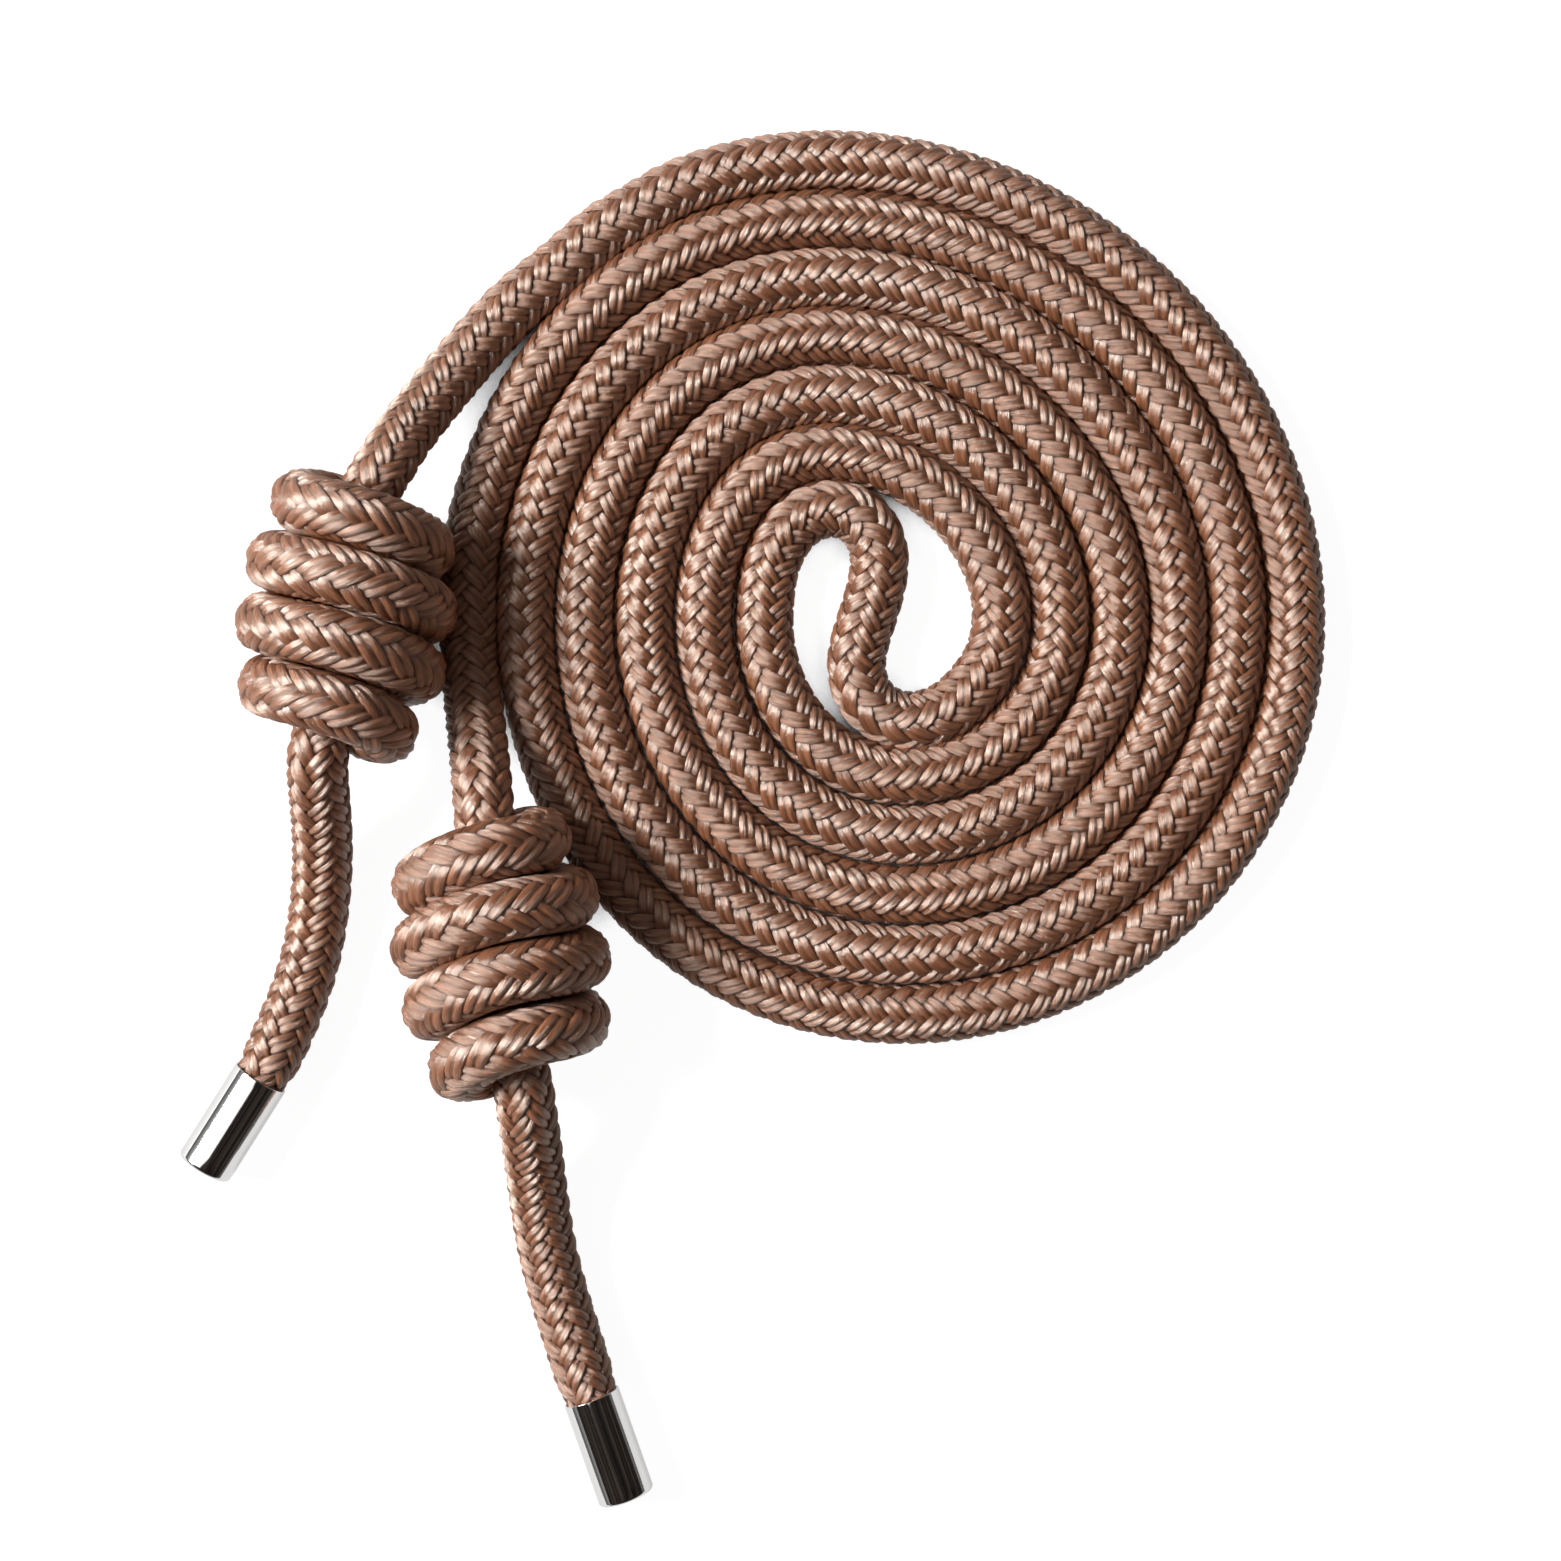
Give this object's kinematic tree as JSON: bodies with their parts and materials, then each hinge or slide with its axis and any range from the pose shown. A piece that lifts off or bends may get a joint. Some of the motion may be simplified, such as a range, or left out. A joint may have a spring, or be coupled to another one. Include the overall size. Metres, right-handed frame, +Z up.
{
  "type": "flow rope",
  "caption": "Braided exercise flow rope laid flat in a double coil, with a barrel knot, a short tail and a metal cap at each end.",
  "frame": {"origin": "on the floor under the middle of the whole layout", "axes": "+Z up, out of the flat coil; +Y away from the capped ends, along the longest side of the layout; +X from the knots towards the coil"},
  "size_m": [0.2551, 0.3068, 0.0405],
  "materials": {
    "braided_cover": "satin multifilament braid, dusky rose brown",
    "core_yarn": "dull undyed yarn",
    "cap_metal": "mirror polished",
    "set_glue": "set hot glue"
  },
  "bodies": {
    "root": {"cover_coil": "braided_cover", "core_coil": "core_yarn", "cover_upper_lead": "braided_cover", "core_upper_lead": "core_yarn", "cover_upper_knot": "braided_cover", "core_upper_knot": "core_yarn", "cover_upper_tail": "braided_cover", "core_upper_tail": "core_yarn", "upper_end_cap": "cap_metal", "upper_cap_glue": "set_glue", "cover_lower_lead": "braided_cover", "core_lower_lead": "core_yarn", "cover_lower_knot": "braided_cover", "core_lower_knot": "core_yarn", "cover_lower_tail": "braided_cover", "core_lower_tail": "core_yarn", "lower_end_cap": "cap_metal", "lower_cap_glue": "set_glue"}
  },
  "joints": []
}
